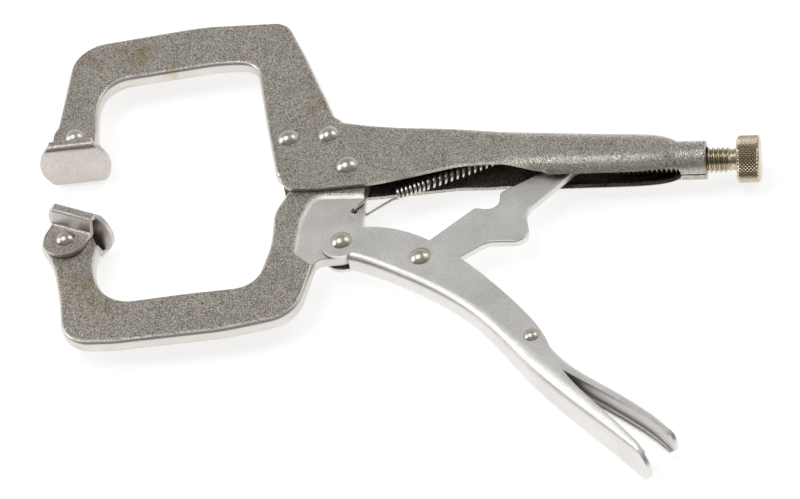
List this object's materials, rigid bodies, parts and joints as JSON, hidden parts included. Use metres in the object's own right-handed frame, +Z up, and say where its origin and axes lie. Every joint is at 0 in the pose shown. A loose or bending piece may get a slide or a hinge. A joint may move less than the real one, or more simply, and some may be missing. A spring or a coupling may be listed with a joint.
{
  "type": "locking pliers",
  "caption": "Locking C-clamp pliers with swivel pads, over-centre toggle link, release lever, tension spring and adjusting screw, lying on one side.",
  "frame": {"origin": "centre of the underside of the tool's bounding box, with the tool lying flat on one side", "axes": "+X along the adjusting screw from the jaws to the knurled head, +Y from the lower handle towards the back of the fixed jaw, +Z up through the thickness"},
  "size_m": [0.2843, 0.2263, 0.022],
  "materials": {
    "cast_nickel": "granular nickel plating over a shot-blasted surface",
    "sheet_nickel": "granular nickel plating",
    "satin_nickel": "fine satin nickel plating",
    "pad_nickel": "smooth satin nickel plating",
    "rivet_nickel": "bright nickel plating",
    "screw_plating": "slightly yellow zinc plating",
    "spring_wire": "bright drawn wire"
  },
  "bodies": {
    "upper_handle": {"upper_handle": "sheet_nickel", "fixed_jaw": "cast_nickel", "fixed_jaw_front_rivet": "rivet_nickel", "fixed_jaw_rear_rivet": "rivet_nickel", "main_pivot_rivet": "rivet_nickel", "tension_spring": "spring_wire"},
    "moving_jaw": {"moving_jaw": "cast_nickel"},
    "lower_handle": {"lower_handle": "satin_nickel", "handle_pivot_rivet": "rivet_nickel", "link_rivet": "rivet_nickel", "release_lever_rivet": "rivet_nickel"},
    "toggle_link": {"toggle_link": "satin_nickel"},
    "release_lever": {"release_lever": "satin_nickel"},
    "adjusting_screw": {"adjusting_screw": "screw_plating"},
    "fixed_pad": {"fixed_pad": "pad_nickel", "fixed_pad_rivet": "rivet_nickel"},
    "moving_pad": {"moving_pad": "pad_nickel", "moving_pad_rivet": "rivet_nickel"}
  },
  "joints": [
    {"name": "jaw_pivot", "type": "hinge", "parent": "upper_handle", "child": "moving_jaw", "pos_m": [-0.01657, 0.03174, 0.011], "axis": [0, 0, 1], "range_deg": [-12, 0], "stiffness_Nm_per_rad": 0.3, "springref_deg": 57.3, "deforming": ["tension_spring"]},
    {"name": "handle_pivot", "type": "hinge", "parent": "moving_jaw", "child": "lower_handle", "pos_m": [-0.01397, -0.00706, 0.011], "axis": [0, 0, 1], "range_deg": [-1, 27]},
    {"name": "link_pivot", "type": "hinge", "parent": "lower_handle", "child": "toggle_link", "pos_m": [0.01733, -0.01576, 0.011], "axis": [0, 0, 1], "range_deg": [-21, 1]},
    {"name": "lever_pivot", "type": "hinge", "parent": "lower_handle", "child": "release_lever", "pos_m": [0.06302, -0.05656, 0.011], "axis": [0, 0, 1], "range_deg": [-8, 0]},
    {"name": "screw_travel", "type": "slide", "parent": "upper_handle", "child": "adjusting_screw", "axis": [1, 0, 0], "range_m": [0, 0.01]},
    {"name": "fixed_pad_swivel", "type": "hinge", "parent": "upper_handle", "child": "fixed_pad", "pos_m": [-0.12937, 0.05024, 0.011], "axis": [0, 0, 1], "range_deg": [-20, 20]},
    {"name": "moving_pad_swivel", "type": "hinge", "parent": "moving_jaw", "child": "moving_pad", "pos_m": [-0.12318, -0.00336, 0.011], "axis": [0, 0, 1], "range_deg": [-20, 20]}
  ],
  "couplings": [
    {"joint": "handle_pivot", "follows": "jaw_pivot", "ratio": -2.15},
    {"joint": "link_pivot", "follows": "jaw_pivot", "ratio": 1.65}
  ]
}
